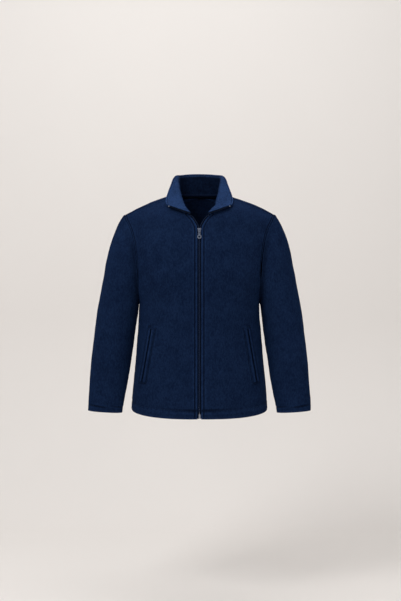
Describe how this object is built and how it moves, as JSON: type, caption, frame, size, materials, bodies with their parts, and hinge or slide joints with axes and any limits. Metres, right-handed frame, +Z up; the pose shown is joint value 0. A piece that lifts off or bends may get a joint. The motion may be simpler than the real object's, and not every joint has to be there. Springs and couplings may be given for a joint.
{
  "type": "fleece zip jacket",
  "caption": "Long-sleeved fleece jacket with a turned-down collar, full front zip with a ring-ended pull tab, and slanted lower pockets, filled out as if worn.",
  "frame": {"origin": "middle of the neck at the height of the shoulder points, where the wearer carries the jacket", "axes": "+Z up, -Y out of the zipped front, +X towards the wearer's left sleeve"},
  "size_m": [0.704, 0.257, 0.7818],
  "materials": {
    "navy_fleece": "matt brushed fleece",
    "navy_fleece_collar": "matt brushed fleece",
    "navy_tape": "woven tape",
    "navy_coil": "satin nylon coil",
    "silver_metal": "satin plated metal"
  },
  "bodies": {
    "garment": {"back": "navy_fleece", "front_left": "navy_fleece", "front_right": "navy_fleece", "sleeve_left": "navy_fleece", "sleeve_right": "navy_fleece", "collar_outer": "navy_fleece", "collar_inner": "navy_fleece_collar", "neck_tape": "navy_tape", "pocket_lip_front_left": "navy_fleece", "pocket_lip_back_left": "navy_fleece", "pocket_lip_front_right": "navy_fleece", "pocket_lip_back_right": "navy_fleece", "zip_tape_left": "navy_tape", "zip_tape_right": "navy_tape", "zip_chain": "navy_coil", "zip_coil_left": "navy_coil", "zip_coil_right": "navy_coil", "zip_top_stop_left": "silver_metal", "zip_top_stop_right": "silver_metal", "zip_box": "silver_metal", "zip_pin": "silver_metal", "zip_slider": "silver_metal"},
    "pull_tab": {"zip_pull_tab": "silver_metal"}
  },
  "joints": [
    {"name": "tab_swing", "type": "hinge", "parent": "garment", "child": "pull_tab", "pos_m": [0, -0.11518, -0.12217], "axis": [-1, 0, 0], "range_deg": [0, 165]}
  ]
}
